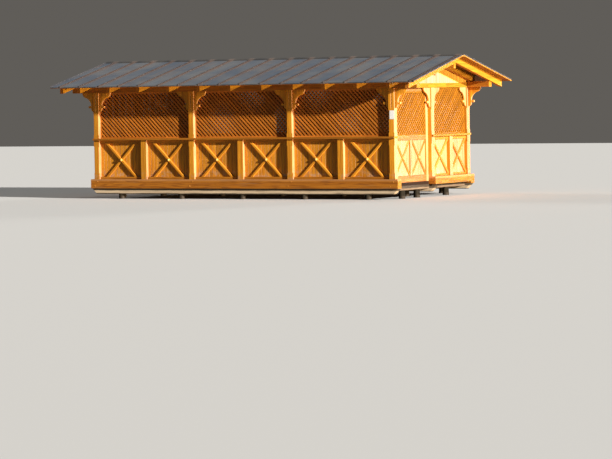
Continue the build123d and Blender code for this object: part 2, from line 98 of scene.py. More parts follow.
# Brackets
REACH, DROP, BRACKET_THICKNESS, BRACKET_RECESS = 0.350, 0.490, 0.054, 0.028
TIP, NOSE = 0.035, 0.031
NOSE_OUT, NOSE_DROP = 0.39 * REACH, 0.75 * DROP
EASED_EDGE = 0.004
NOSE_HIGHLIGHT_TONE = 3.0  # the rounds of the noses are paler than any piece's own tone: a painted highlight

# Piles
PILE_SPACING, PILE_RADIUS, PILE_TOP = 1.830, 0.080, 0.126
STUMP_TOP, STUMP_INSET = 0.215, 0.180  # under the cross beams

# Roof
SLOPE_ANGLE = radians(13.2)
SLOPE = tan(SLOPE_ANGLE)
SHEATHING, METAL = 0.027, 0.005
ROOF_DEPTH = 0.196  # rafter, boarding and metal, square to the slope
EAVE_LINE, VERGE_LINE = 2.780, 5.360
SEAM_SPACING, SEAM_COUNT = 0.606, 18
FIRST_SEAM = VERGE_LINE - 0.113
RAFTER_WIDTH, RAFTER_STEPS = 0.098, 5
VERGE_TINT_DEPTH = 0.36  # depth of gable boarding in the verge's shadow that takes a second tint of painted light
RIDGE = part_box("wall_plates")[1].z + SLOPE * HALF_GABLE + ROOF_DEPTH / cos(SLOPE_ANGLE)
EAVE_TOP = RIDGE - SLOPE * EAVE_LINE

WALLS = {wall: Matrix.Rotation(turn, 4, "Z") @ Matrix.Translation((0, -across / 2, 0))
         for wall, turn, across in (("front", 0, WIDTH), ("back", pi, WIDTH),
                                    ("left", -pi / 2, LENGTH), ("right", pi / 2, LENGTH),
                                    ("gate", pi / 2, LENGTH))}


# Laying nodes

def sign_for(operation, turned=False):
    """What a sign of arithmetic does on a wire."""
    def method(*terms):
        return reckon(operation, *(reversed(terms) if turned else terms))
    return method


class Wire:
    """What a node gives out. Sums written with it become further nodes of its tree."""

    def __init__(self, tree, socket):
        self.tree, self.socket = tree, socket

    __add__, __radd__ = sign_for("ADD"), sign_for("ADD", True)
    __sub__, __rsub__ = sign_for("SUBTRACT"), sign_for("SUBTRACT", True)
    __mul__, __rmul__ = sign_for("MULTIPLY"), sign_for("MULTIPLY", True)
    __truediv__, __mod__ = sign_for("DIVIDE"), sign_for("FLOORED_MODULO")
    __lt__, __gt__ = sign_for("LESS_THAN"), sign_for("GREATER_THAN")
    __abs__, __round__ = sign_for("ABSOLUTE"), sign_for("ROUND")
    __floor__, __ceil__ = sign_for("FLOOR"), sign_for("CEIL")
    smaller, larger = sign_for("MINIMUM"), sign_for("MAXIMUM")
    folded, sign, sine = sign_for("PINGPONG"), sign_for("SIGN"), sign_for("SINE")

    def through(self, kind, into=None, **settings):
        """Passes it through a node, by the node's first input."""
        return lay(self.tree, kind, {0: self, **(into or {})}, **settings)

    def fade(self, low, high, to_low=0.0, to_high=1.0):
        """Maps a range smoothly to another."""
        return self.through("ShaderNodeMapRange", {1: low, 2: high, 3: to_low, 4: to_high},
                            interpolation_type="SMOOTHSTEP")


def tree_of(*terms):
    """The tree of the first wire among some terms."""
    return next(term.tree for term in terms if isinstance(term, Wire))


def fill(tree, node, into):
    """Links or sets a node's inputs. A list goes into one input, item by item."""
    for key, value in into.items():
        socket = node.inputs[key]
        for item in value if isinstance(value, list) else [value]:
            if isinstance(item, Wire):
                tree.links.new(item.socket, socket)
            else:
                socket.default_value = (*item, 1) if socket.type == "RGBA" else item


def lay(tree, kind, into=None, out=0, **settings):
    """Adds a node with its inputs and settings. Gives one of its outputs, or all for None."""
    node = tree.nodes.new(kind)
    for key, value in settings.items():
        setattr(node, key, value)
    fill(tree, node, into or {})
    if out is None:
        return [Wire(tree, socket) for socket in node.outputs]
    return Wire(tree, node.outputs[out])


def reckon(operation, *terms):
    return lay(tree_of(*terms), "ShaderNodeMath", dict(enumerate(terms)), operation=operation)


def on_vectors(operation, first, second):
    return first.through("ShaderNodeVectorMath", {1: second}, operation=operation)


def blend(share, first, second, blend_type="MIX"):
    """Blends two colours, or two places, by a share."""
    return lay(tree_of(share, first, second), "ShaderNodeMix", {0: share, 6: first, 7: second},
               out=2, data_type="RGBA", blend_type=blend_type)


def choose(mask, first, second):
    """The first number where the mask is zero, the second where it is one."""
    return mask.through("ShaderNodeMix", {2: first, 3: second}, data_type="FLOAT")


def gathered(x=0.0, y=0.0, z=0.0):
    """Three numbers as one vector."""
    return lay(tree_of(x, y, z), "ShaderNodeCombineXYZ", {0: x, 1: y, 2: z})


def parted(vector):
    """The x, y and z of a vector."""
    return vector.through("ShaderNodeSeparateXYZ", out=None)


def chance(cell):
    """A random number between 0 and 1 for each value of a vector."""
    return cell.through("ShaderNodeTexWhiteNoise", out="Value")


def place_of(tree):
    return lay(tree, "ShaderNodeTexCoord", out="Object")


def axes_of(tree):
    return parted(place_of(tree))


def facing_of(tree):
    """The way that a face points, as x, y and z."""
    return parted(lay(tree, "ShaderNodeTexCoord", out="Normal"))


ALONG_X, ALONG_Y, ALONG_Z = (0, 0, 0), (0, 0, pi / 2), (0, -pi / 2, 0)


def along_grain(space, size, turn=ALONG_X):
    """A space with the grain as its first axis, in units of a feature's size."""
    return space.through("ShaderNodeMapping", {2: turn, 3: size}, vector_type="TEXTURE")


def speckle(space, size, turn=ALONG_X, detail=3.0, roughness=0.55, distortion=0.0):
    """Noise whose features have the given size along the grain and across it."""
    return along_grain(space, size, turn).through("ShaderNodeTexNoise", {
        "Scale": 1.0, "Detail": detail, "Roughness": roughness, "Distortion": distortion})


def new_finish(name):
    finish = bpy.data.materials.new(name)
    finish.use_nodes = True
    return finish, finish.node_tree


def dressed(finish, base, roughness, relief=None, **others):
    """Fills a finish's shader. The relief is a height with its depth and strength."""
    tree = finish.node_tree
    into = {"Base Color": base, "Roughness": roughness}
    into.update({key.replace("_", " "): value for key, value in others.items()})
    if relief:
        height, depth, strength = relief
        into["Normal"] = lay(tree, "ShaderNodeBump", {"Strength": strength, "Distance": depth,
                                                      "Height": height})
    fill(tree, tree.nodes["Principled BSDF"], into)
    return finish


# What the timber finishes read from a point's place

WIDE_CELL = 9.0  # a cell that no piece is taller than


def cell_tone(spacing, shift=(0, 0, 0)):
    """A random tone for each piece of a regular row, from the cell that it stands in."""
    def tone(tree):
        moved = on_vectors("ADD", place_of(tree), shift)
        return chance(on_vectors("SNAP", moved, spacing))
    return tone


def own_tone(tree):
    return lay(tree, "ShaderNodeAttribute", out="Fac", attribute_name="tone")


def across_the_gables(tree):
    """One on what runs along the gables, between the long walls."""
    return abs(axes_of(tree)[1]) < HALF_GABLE - POST / 2 - 0.001


def turned_where(mask, order):
    """Grain space whose axes come in another order where the mask is one."""
    def space(tree):
        x, y, z = axes_of(tree)
        return blend(mask(tree), gathered(x, y, z), gathered(*((x, y, z)[i] for i in order)))
    return space


def brace_space(tree):
    """Folds each cross on its middle so that one grain runs along both of its arms."""
    x, y, z = axes_of(tree)
    on_gable = abs(x) > LENGTH / 2 - POST - 0.01
    along_wall = choose(on_gable, x.folded(BAY / 4), y.folded(HALF_GABLE / 4))
    out = choose(on_gable, BAY / 4, HALF_GABLE / 4) - along_wall
    rise = abs(z - CROSS_MIDDLE)
    return gathered((out + rise) * sqrt(0.5), choose(on_gable, y, x), (out - rise) * sqrt(0.5))


def slat_axes(tree, wall):
    """Where a point lies: along its slat, across the panel, depth, inner layer, rim, panel."""
    x, y, z = axes_of(tree)
    gable = wall != "long"
    wall_axis, depth_axis = (y, x) if gable else (x, y)
    lean, bay, half = (1.0, HALF_GABLE, LENGTH / 2) if gable else (-1.0, BAY, WIDTH / 2)
    start = wall_axis * (depth_axis.sign() * lean) + (0.0 if gable else BAY / 2)
    run = start % bay - bay / 2
    foot, head = CAP_TOP, GATE_LATTICE_HEAD if wall == "gate" else PLATE_FOOT
    rise = z - (foot + head) / 2
    depth = half - abs(depth_axis)
    inner = depth > (GATE_RECESS if wall == "gate" else LATTICE_RECESS) + LATTICE_DEPTH / 2
    rim = abs(rise) > (head - foot) / 2 - LATTICE_FRAME
    turned = run * (lean - inner * (2 * lean))
    along, across = (turned + rise) * sqrt(0.5), (turned - rise) * sqrt(0.5)
    return along, across, depth, inner, rim, floor(start / bay)


def slat_space(wall):
    def space(tree):
        along, across, depth, inner, rim, _ = slat_axes(tree, wall)
        wall_way = along_grain(place_of(tree), (1, 1, 1), ALONG_X if wall == "long" else ALONG_Y)
        return blend(rim, gathered(along, depth + inner * 7.0, across), wall_way)
    return space


def slat_tone(wall):
    """A tone for each slat, lower on the inner layer as painted shade from the outer slats."""
    def tone(tree):
        _, across, _, inner, rim, panel = slat_axes(tree, wall)
        number = round(across / (SLAT_SPACING / sqrt(8))) * (1.0 - rim)
        # the inner layer is darker: painted shade behind the outer slats
        return chance(gathered(number, inner, panel)) - inner * 1.1
    return tone


def gate_rails(tree):
    """One on the gate's rails, by their heights."""
    _, y, z = axes_of(tree)
    found = 0.0
    for foot, head in GATE_RAILS:
        found = reckon("MAXIMUM", found, abs(z - (foot + head) / 2) < (head - foot) / 2)
    return found * (abs(y - GATE_MIDDLE) < GATE_WIDTH / 2 - GATE_STILE)


def depth_under_roof(tree):
    """How far a point lies straight below the roof sheets."""
    _, y, z = axes_of(tree)
    return RIDGE - abs(y) * SLOPE - z


def beam_tone(tree):
    """A tone for each lengthwise or crosswise beam, from where its section lies."""
    x, y, z = axes_of(tree)
    section = blend(across_the_gables(tree), gathered(y=y, z=z), gathered(x=x, z=z))
    return chance(on_vectors("SNAP", section, (0.31, 0.31, 0.21)))


def gate_tone(tree):
    """A tone for each of the gate's stiles and rails."""
    _, y, z = axes_of(tree)
    stile = round((y - GATE_U[0]) / (GATE_WIDTH / 2))
    return chance(blend(gate_rails(tree), stile, round(z) + 5.0))


post_tone = cell_tone((BAY / 4, HALF_GABLE / 4, WIDE_CELL), (BAY / 8, HALF_GABLE / 8, 0))
brace_tone = cell_tone((BAY / 2, HALF_GABLE / 2, WIDE_CELL))
rafter_step = (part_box("rafters_front")[1].x - RAFTER_WIDTH / 2) / RAFTER_STEPS
rafter_tone = cell_tone((rafter_step, WIDE_CELL, WIDE_CELL), (rafter_step / 2, 0, 0))
beam_space = turned_where(across_the_gables, (1, 0, 2))


# Timber finishes

def softwood(moved, grain_way, palette, figure, knots):
    """The wood itself: growth lines, fibres and knots. Gives its colour, lines and fibres."""
    deep, body, pale = palette
    swell = speckle(moved, (1.6, 0.085, 0.085), grain_way, detail=2.0, distortion=0.35)
    rings = (swell * 34.0).sine().fade(-0.2, 1.0)
    fibres = speckle(moved, (0.22, 0.0035, 0.0035), grain_way, detail=4.0, roughness=0.62)
    streaks = speckle(moved, (2.4, 0.045, 0.045), grain_way, roughness=0.6)
    eyes = along_grain(moved, (0.50, 0.12, 0.12), grain_way).through(
        "ShaderNodeTexVoronoi", {"Scale": 1.0}, out="Distance")
    base = blend(streaks.fade(0.32, 0.68), body, pale)
    base = blend(rings * (0.34 * figure), base, deep)
    base = blend(fibres.fade(0.46, 0.72) * 0.30, base, deep)
    return blend(eyes.fade(0.05, 0.12, 1.0, 0.0) * knots, base, deep), rings, fibres


def with_painted_sun_tint(base, painted_sun_tint, painted_verge_tint):
    """Faces towards the low sun take a tint of painted light, and those in the verge's shadow another
    one.
    """
    if painted_verge_tint:
        # in the verge's shadow the boards take a brighter orange tint: painted light on shaded boards
        shaded = depth_under_roof(base.tree).fade(VERGE_TINT_DEPTH - 0.03, VERGE_TINT_DEPTH + 0.03, 1.0, 0.0)
        painted_sun_tint = blend(shaded, painted_sun_tint, painted_verge_tint)
    # faces towards +X take painted light: paler and creamier, as under strong low sun
    return blend(facing_of(base.tree)[0].fade(0.45, 0.85), base, painted_sun_tint, "MULTIPLY")


def stained(name, palette, grain_way=ALONG_X, space=place_of, tone=own_tone,
            figure=1.0, knots=0.3, weathering=0.0, foot_darkening=0.0, spread=0.30,
            darker=None, splash=0.0, bared_top=0.0, underside_shade=None, painted_verge_tint=None):
    """Stained softwood, with a tone for each piece, the wear that its place brings, and painted light
    and shade on some faces.
    """
    finish, tree = new_finish(name)
    *wood, painted_sun_tint = palette
    piece_tone = tone(tree)
    height = axes_of(tree)[2]
    drift = piece_tone * 7.0
    moved = on_vectors("ADD", space(tree), gathered(drift, drift, drift))
    base, rings, fibres = softwood(moved, grain_way, wood, figure, knots)
    # painted light on the faces towards the low sun
    base = with_painted_sun_tint(base, painted_sun_tint, painted_verge_tint)
    if darker:
        base = blend(darker(tree), base, (0.66, 0.52, 0.34), "MULTIPLY")
    if bared_top:
        bared = height.fade(SILL_TOP - 0.060, SILL_TOP - 0.030, 0.0, bared_top)
        base = blend(bared, base, (0.50, 0.235, 0.085))
    if underside_shade:
        # downward faces take painted shade
        below = facing_of(tree)[2].fade(-0.85, -0.45, 1.0, 0.0)
        base = blend(below, base, underside_shade, "MULTIPLY")
    if splash:
        low = height.fade(SILL_TOP + 0.02, SILL_TOP + 0.30, 1.0, 0.0)
        blots = speckle(place_of(tree), (0.16, 0.16, 0.11), detail=4.0)
        base = blend(low * blots.fade(0.46, 0.62) * splash, base, (0.42, 0.29, 0.20))
    if weathering:
        blots = speckle(moved, (0.9, 0.06, 0.06), grain_way, detail=5.0, roughness=0.7)
        base = blend(blots.fade(0.52, 0.70) * weathering, base, (0.20, 0.13, 0.075))
    patches = speckle(moved, (0.7, 0.22, 0.22), grain_way, detail=2.0)
    shade = piece_tone * spread + patches * 0.34 + (0.83 - spread / 2)
    # darker towards the foot
    if foot_darkening:
        shade = shade - height.fade(0.30, 0.62, 1.0, 0.0) * foot_darkening * patches
    base = blend(1.0, base, gathered(shade, shade, shade), "MULTIPLY")
    return dressed(finish, base, fibres.fade(0.3, 0.75, 0.48, 0.68),
                   (fibres - rings * 0.35, 0.0012, 0.35), Specular_IOR_Level=0.24)


def weathered(name, turn, pale, dark, damp_and_shade_line, sill_shadow_line=9.0, x_face_shade=0.6):
    """Bleached rough-sawn timber with open cracks, dark below one height with damp and painted shade,
    dark above another as painted shadow, and painted shade on faces along the length.
    """
    finish, tree = new_finish(name)
    place = place_of(tree)
    streaks = speckle(place, (1.1, 0.03, 0.03), turn, detail=5.0, roughness=0.65, distortion=0.3)
    cracks = speckle(place, (0.6, 0.006, 0.006), turn, detail=4.0)
    patches = speckle(place, (0.35, 0.2, 0.2), turn)
    base = blend(streaks.fade(0.35, 0.7), pale, dark)
    base = blend(cracks.fade(0.58, 0.7) * 0.8, base, (0.035, 0.026, 0.020))
    # faces that look along the length take painted shade
    x_facing = abs(facing_of(tree)[0]).fade(0.45, 0.85)
    base = blend(x_facing, base, (x_face_shade, x_face_shade * 0.95, x_face_shade * 0.9), "MULTIPLY")
    # dark below one height: damp, and painted shade under the building; dark above another: the
    # sill's painted shadow
    edge = axes_of(tree)[2] + (patches - 0.5) * 0.03
    damp_and_shade = edge.fade(damp_and_shade_line - 0.008, damp_and_shade_line + 0.008, 0.92, 0.0).larger(
        edge.fade(sill_shadow_line - 0.008, sill_shadow_line + 0.008, 0.0, 0.85))
    base = blend(damp_and_shade, base, (0.030, 0.022, 0.015))
    return dressed(finish, base, damp_and_shade.fade(0.0, 0.92, 0.85, 0.6), (streaks - cracks, 0.003, 0.5),
                   Specular_IOR_Level=0.10)


# Other finishes

def seamed_metal(name, body, dust, stain):
    """Painted steel sheet: soft waves, dust beside the seams, faint runs down the slope, and painted
    shade on the seams' sides and feet.
    """
    finish, tree = new_finish(name)
    place = place_of(tree)
    clouds = speckle(place, (0.9, 0.9, 0.9), detail=4.0, roughness=0.6)
    runs = speckle(place, (0.05, 1.7, 0.6), detail=4.0)
    waves = speckle(place, (0.35, 1.5, 1.0), detail=1.0)
    base = blend(clouds.fade(0.35, 0.7), body, dust)
    base = blend(runs.fade(0.48, 0.7) * 0.55, base, stain)
    beside = (axes_of(tree)[0] - FIRST_SEAM).folded(SEAM_SPACING / 2)
    base = blend(beside.fade(0.03, 0.13, 1.0, 0.0) * (clouds * 1.3), base, (0.185, 0.140, 0.118))
    # a thin dark line at the foot of each seam: painted shade
    base = blend(beside.fade(0.007, 0.012, 0.60, 0.0), base, (0.085, 0.060, 0.050))
    # the seams' upstands, facing along the length, take painted shade
    rib_side_shade = abs(facing_of(tree)[0]).fade(0.45, 0.85)
    base = blend(rib_side_shade, base, (0.33, 0.27, 0.25), "MULTIPLY")
    return dressed(finish, base, clouds.fade(0.3, 0.7, 0.50, 0.65), (waves, 0.006, 0.4),
                   Specular_IOR_Level=0.25)


def blotted(name, size, share, clean, blots, roughness, relief, metallic=0.0):
    """A finish with blots of another colour, rougher where they are."""
    finish, tree = new_finish(name)
    height = speckle(place_of(tree), size, detail=5.0)
    base = blend(height.fade(*share), clean, blots)
    return dressed(finish, base, height.fade(0.3, 0.8, *roughness),
                   (height, *relief), Metallic=metallic)


# Each palette: growth lines, body, light streaks, and the tint of painted light for faces towards the
# low sun, as on the gables
UPRIGHT = ((0.24, 0.065, 0.005), (0.57, 0.205, 0.008), (0.70, 0.295, 0.016), (0.82, 1.03, 8.5))
BOARDS = ((0.26, 0.075, 0.006), (0.57, 0.205, 0.010), (0.69, 0.280, 0.018), (0.80, 1.02, 7.6))
BRACES = ((0.26, 0.075, 0.006), (0.59, 0.215, 0.010), (0.71, 0.290, 0.018), (0.60, 0.58, 1.5))
PEDIMENT = (*BOARDS[:3], (0.82, 1.24, 12.0))
KNOBS = ((0.32, 0.11, 0.02), (0.76, 0.40, 0.09), (0.82, 0.50, 0.14), (1.0, 1.0, 1.0))
RAILS = ((0.19, 0.048, 0.004), (0.45, 0.156, 0.009), (0.55, 0.205, 0.014), (0.73, 0.88, 1.3))
CAPS = ((0.13, 0.032, 0.003), (0.26, 0.090, 0.006), (0.32, 0.118, 0.009), (1.15, 1.45, 1.9))
SILLS = ((0.17, 0.044, 0.004), (0.40, 0.130, 0.009), (0.49, 0.175, 0.015), (0.76, 0.98, 1.1))
ROOF_TIMBER = ((0.17, 0.040, 0.003), (0.37, 0.115, 0.007), (0.45, 0.155, 0.011),
               (0.92, 1.22, 0.9))
SLATS = ((0.21, 0.050, 0.005), (0.49, 0.138, 0.011), (0.58, 0.180, 0.018), (0.46, 0.62, 0.15))
DECK = ((0.13, 0.055, 0.020), (0.36, 0.170, 0.055), (0.45, 0.230, 0.080), (1.0, 1.0, 1.0))

upright = stained("upright_timber", UPRIGHT, ALONG_Z, tone=post_tone, foot_darkening=0.5,
                  splash=0.35)
boarding = stained("board_timber", BOARDS, ALONG_Z, splash=0.6)
# the gable boards in the verge's shadow take painted light
pediment_boarding = stained("pediment_timber", PEDIMENT, ALONG_Z,
                            painted_verge_tint=(1.35, 1.75, 4.0))
gate_timber = stained("gate_timber", UPRIGHT, ALONG_Z,
                      turned_where(gate_rails, (0, 2, 1)), gate_tone, darker=gate_rails)
carving = stained("carved_timber", UPRIGHT, ALONG_Z, knots=0.0)
turning = stained("turned_timber", KNOBS, ALONG_Z, knots=0.0)
bracing = stained("brace_timber", BRACES, ALONG_X, brace_space, brace_tone, knots=0.1)
# strong darkening low lets the rails' body be lighter: painted light on the top rail, which the cap
# shades
railing = stained("rail_timber", RAILS, ALONG_X, beam_space, beam_tone, foot_darkening=3.2)
capping = stained("cap_timber", CAPS, ALONG_X, beam_space, beam_tone)
fascia = stained("sill_timber", SILLS, ALONG_X, beam_space, beam_tone,
                 figure=1.6, weathering=0.45, foot_darkening=0.5, bared_top=0.65)
rafting = stained("rafter_timber", ROOF_TIMBER, ALONG_Y, tone=rafter_tone)
plating = stained("plate_timber", ROOF_TIMBER, ALONG_X, tone=beam_tone)
tying = stained("tie_timber", ROOF_TIMBER, ALONG_Y, tone=post_tone)
long_slats, gable_slats, gate_slats = (
    stained(name, SLATS, ALONG_X, slat_space(wall), slat_tone(wall), knots=0.0, spread=0.34)
    for name, wall in (("slat_timber", "long"), ("gable_slat_timber", "gable"),
                       ("gate_slat_timber", "gate")))
# the planks' undersides take painted shade under the building
decking = stained("deck_timber", DECK, ALONG_X, underside_shade=(0.15, 0.15, 0.15))
soffit = stained("soffit_timber", ROOF_TIMBER, ALONG_X, figure=1.3)
# the bearers' dark bands are the sill's painted shadow above and painted shade below
bearer_wood = weathered("bearer_timber", ALONG_X, (0.60, 0.47, 0.31), (0.46, 0.34, 0.22),
                        0.149, 0.216)
# the cross beams' dark top band is the sill's painted shadow
cross_wood = weathered("cross_beam_timber", ALONG_Y, (0.36, 0.27, 0.19),
                       (0.25, 0.17, 0.11), 0.10, 0.256, 0.5)
# near-black: painted shade for the threshold and the joists, which lie in shade under the building
painted_shade_wood = weathered("threshold_timber", ALONG_Y, (0.042, 0.021, 0.012),
                      (0.020, 0.011, 0.008), 0.05)
pile_wood = weathered("pile_timber", ALONG_Z, (0.026, 0.021, 0.013),
                      (0.013, 0.010, 0.006), 0.07)
metal = seamed_metal("roof_sheet", (0.086, 0.108, 0.142), (0.134, 0.143, 0.154),
                     (0.160, 0.122, 0.102))
ridge_metal = seamed_metal("ridge_sheet", (0.055, 0.056, 0.058), (0.085, 0.080, 0.074),
                           (0.110, 0.085, 0.070))
iron = blotted("forged_iron", (0.02, 0.02, 0.02), (0.5, 0.75), (0.030, 0.030, 0.032),
               (0.120, 0.052, 0.024), (0.42, 0.75), (0.001, 0.4), metallic=0.6)
white = blotted("white_enamel", (0.05, 0.05, 0.03), (0.5, 0.8, 0.0, 0.35), (0.84, 0.84, 0.81),
                (0.48, 0.44, 0.38), (0.25, 0.5), (0.0004, 0.3))

FINISHES = {
    upright: "posts_front posts_back posts_gable short_posts king_posts",
    gate_timber: "gate_frame",
    railing: "panel_rails_front panel_rails_back panel_rails_gable",
    capping: "cap_rails",
    fascia: "sill_front sill_back sills_gable",
    plating: "wall_plates ridge_purlin",
    tying: "tie_beams",
    # the threshold and joists are painted dark as shade
    painted_shade_wood: "threshold floor_joists",
    rafting: "rafters_front rafters_back",
    bracing: "cross_braces_front cross_braces_back cross_braces_gable gate_braces",
    long_slats: "lattice_front lattice_back",
    gable_slats: "lattice_left lattice_right",
    gate_slats: "gate_lattice",
    bearer_wood: "bearers",
    cross_wood: "cross_beams",
    metal: "roof_front roof_back",
    ridge_metal: "ridge_cap",
    iron: "gate_straps gate_pins",
    white: "notice_plate",
}
for finish, names in FINISHES.items():
    for name in names.split():
        for slot in nodes[name].material_slots:
            slot.material = finish


# Geometry trees

def geometry_tree(name, sizes):
    """A geometry tree with a named input for each size. Gives the tree and its inputs."""
    tree = bpy.data.node_groups.new(name, "GeometryNodeTree")
    tree.is_modifier = True
    tree.interface.new_socket("Geometry", in_out="INPUT", socket_type="NodeSocketGeometry")
    for label, value in sizes.items():
        kind = "NodeSocketInt" if isinstance(value, int) else "NodeSocketFloat"
        socket = tree.interface.new_socket(label, in_out="INPUT", socket_type=kind)
        socket.default_value = value
    tree.interface.new_socket("Geometry", in_out="OUTPUT", socket_type="NodeSocketGeometry")
    given = tree.nodes.new("NodeGroupInput").outputs
    return tree, {label: Wire(tree, given[label]) for label in ("Geometry", *sizes)}


def repeated(points, item, turn=(0, 0, 0), scale=(1, 1, 1)):
    """The item at each point, turned and stretched."""
    return points.through("GeometryNodeInstanceOnPoints", {
        "Instance": item, "Rotation": turn, "Scale": scale})


def stored(geometry, name, value, data_type):
    """Stores a value on the points of a geometry."""
    return geometry.through("GeometryNodeStoreNamedAttribute", {"Name": name, "Value": value},
                            data_type=data_type, domain="POINT")


def close_tree(size, item, seed, finish, turn=(0, 0, 0)):
    """Ends a tree: the item at each spot, with a random tone on each loose piece."""
    tree = item.tree
    island = lay(tree, "GeometryNodeInputMeshIsland", out="Island Index")
    tone = lay(tree, "FunctionNodeRandomValue", {"ID": island, "Seed": seed}, "Value",
               data_type="FLOAT")
    real = repeated(size["Geometry"], item, turn).through("GeometryNodeRealizeInstances")
    toned = stored(real, "tone", tone, "FLOAT")
    faced = toned.through("GeometryNodeSetMaterial", {"Material": finish})
    fill(tree, tree.nodes.new("NodeGroupOutput"), {"Geometry": faced})
    return tree


def in_scene(name, data):
    """An object with the given data, at the origin."""
    thing = bpy.data.objects.new(name, data)
    bpy.context.scene.collection.objects.link(thing)
    return thing


def grow(name, tree, spots, sizes, place=Matrix()):
    """Runs a tree once at the given spots and keeps the result as a plain mesh in its place."""
    points = bpy.data.meshes.new(name + "_spots")
    points.from_pydata([tuple(spot) for spot in spots], [], [])
    piece = in_scene(name, points)
    maker = piece.modifiers.new("maker", "NODES")
    maker.node_group = tree
    for item in tree.interface.items_tree:
        if item.in_out == "INPUT" and item.name in sizes:
            maker[item.identifier] = sizes[item.name]
    graph = bpy.context.evaluated_depsgraph_get()
    mesh = bpy.data.meshes.new_from_object(piece.evaluated_get(graph), depsgraph=graph)
    piece.modifiers.remove(maker)
    mesh.transform(place)
    piece.data = mesh
    mesh.name = name
    return piece


def join(name, parts):
    """Joins objects into the first one."""
    if len(parts) > 1:
        with bpy.context.temp_override(active_object=parts[0], object=parts[0],
                                       selected_objects=parts, selected_editable_objects=parts):
            bpy.ops.object.join()
    parts[0].name = name
    return parts[0]


def settle(piece, *stands_for, body="building", slot="stained_timber"):
    """Gives a finished piece to its body and hides the nodes that it stands for; its slot is not
    used.
    """
    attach(piece, body)
    if stands_for:
        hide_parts(*stands_for)


def body_of(wall):
    return "gate" if wall == "gate" else "building"


# Lattice slats between the frame's own

def slat_tree(name, finish):
    """The slats that lie between the frame's own, in both layers of a lattice panel."""
    tree, size = geometry_tree(name, {
        "Width": 1.0, "Height": 1.0, "Spacing": SLAT_SPACING, "Slat": SLAT,
        "Thickness": SLAT_THICKNESS, "Reach": SLAT_REACH, "Lean": 1.0, "Depth": 0.1,
        "Layer step": SLAT_THICKNESS + LAYER_GAP, "Middle": 2.0})
    half_width, half_rise = size["Width"] * sqrt(0.5), size["Height"] * sqrt(0.5)
    count = ceil((size["Width"] + size["Height"]) / size["Spacing"]) + 2
    line = lay(tree, "GeometryNodeMeshLine", {"Count": count}, mode="OFFSET")
    index = lay(tree, "GeometryNodeInputIndex")
    along = (index - floor(count / 2.0) + 0.5) * size["Spacing"]
    across = along * sqrt(2)
    low = (half_rise * -1.0).larger(half_width * -1.0 - across)
    high = half_rise.smaller(half_width - across)
    length, middle = high - low, (low + high) * (0.5 * sqrt(0.5))
    bar = lay(tree, "GeometryNodeMeshCube", {
        "Size": gathered(1.0, size["Thickness"], size["Slat"])})
    layers = []
    for lean, depth in ((size["Lean"], size["Depth"]),
                        (size["Lean"] * -1.0, size["Depth"] + size["Layer step"])):
        spot = gathered(along + middle, depth, middle * lean + size["Middle"])
        placed = line.through("GeometryNodeSetPosition", {"Position": spot})
        # the stretch is stored before short slats go, because it reads the line's own index
        stretched = stored(placed, "bar_scale", gathered(length + size["Reach"] * 2.0, 1.0, 1.0),
                           "FLOAT_VECTOR")
        kept = stretched.through("GeometryNodeDeleteGeometry", {"Selection": length < SHORTEST})
        stretch = lay(tree, "GeometryNodeInputNamedAttribute", {"Name": "bar_scale"},
                      data_type="FLOAT_VECTOR")
        layers.append(repeated(kept, bar, gathered(y=lean * (-pi / 4)), stretch))
    both = lay(tree, "GeometryNodeJoinGeometry", {0: layers})
    return close_tree(size, both, 3, finish)


def openings(middles, width, head=PLATE_FOOT, depth=OUTER_LAYER):
    """The spots of a wall's lattice panels, and their sizes inside the rims."""
    return [(u, 0, 0) for u in middles], {
        "Width": width - 2 * LATTICE_FRAME, "Height": head - CAP_TOP - 2 * LATTICE_FRAME,
        "Depth": depth, "Middle": (CAP_TOP + head) / 2}


LATTICES = {
    "front": openings(BAY_MIDDLES, BAY - POST),
    "back": openings(BAY_MIDDLES, BAY - POST),
    "left": openings(GABLE_MIDDLES, HALF_GABLE - POST),
    "right": openings(GABLE_MIDDLES[1:], HALF_GABLE - POST),
    "gate": openings([GATE_MIDDLE], GATE_WIDTH - 2 * GATE_STILE, GATE_LATTICE_HEAD,
                     OUTER_LAYER + GATE_RECESS - LATTICE_RECESS),
}
long_between = slat_tree("slats_between_long", long_slats)
gable_between = slat_tree("slats_between_gable", gable_slats)
BETWEEN = {"front": long_between, "back": long_between, "left": gable_between,
           "right": gable_between, "gate": slat_tree("slats_between_gate", gate_slats)}
for wall, (spots, sizes) in LATTICES.items():
    lean = -1.0 if wall in ("front", "back") else 1.0
    piece = grow("slats_between_" + wall, BETWEEN[wall], spots, {**sizes, "Lean": lean},
                 WALLS[wall])
    settle(piece, body=body_of(wall))


# Boarding

def board_tree(name, finish, seed):
    """A field of edge-jointed boards with eased arrises, upright, its foot at the spot."""
    tree, size = geometry_tree(name, {"Width": 1.0, "Height": 1.0, "Board": PANEL_BOARD,
                                      "Thickness": BOARD, "Gap": 0.002, "Ease": 0.004})
    count = round(size["Width"] / size["Board"]).larger(1.0)
    pitch = size["Width"] / count
    section = lay(tree, "GeometryNodeCurvePrimitiveQuadrilateral", {
        "Width": pitch - size["Gap"], "Height": size["Thickness"]})
    eased = section.through("GeometryNodeFilletCurve", {"Radius": size["Ease"]}, mode="POLY")
    face = eased.through("GeometryNodeFillCurve", mode="NGONS")
    drawn = face.through("GeometryNodeExtrudeMesh", {
        "Offset": gathered(z=size["Height"]), "Offset Scale": 1.0}, mode="FACES")
    foot = face.through("GeometryNodeFlipFaces")
    whole = lay(tree, "GeometryNodeJoinGeometry", {0: [drawn, foot]})
    board = whole.through("GeometryNodeMergeByDistance", {"Distance": 0.00001})
    row = lay(tree, "GeometryNodeMeshLine", {
        "Count": count, "Start Location": gathered((pitch - size["Width"]) * 0.5),
        "Offset": gathered(pitch)}, mode="OFFSET")
    return close_tree(size, repeated(row, board), seed, finish)


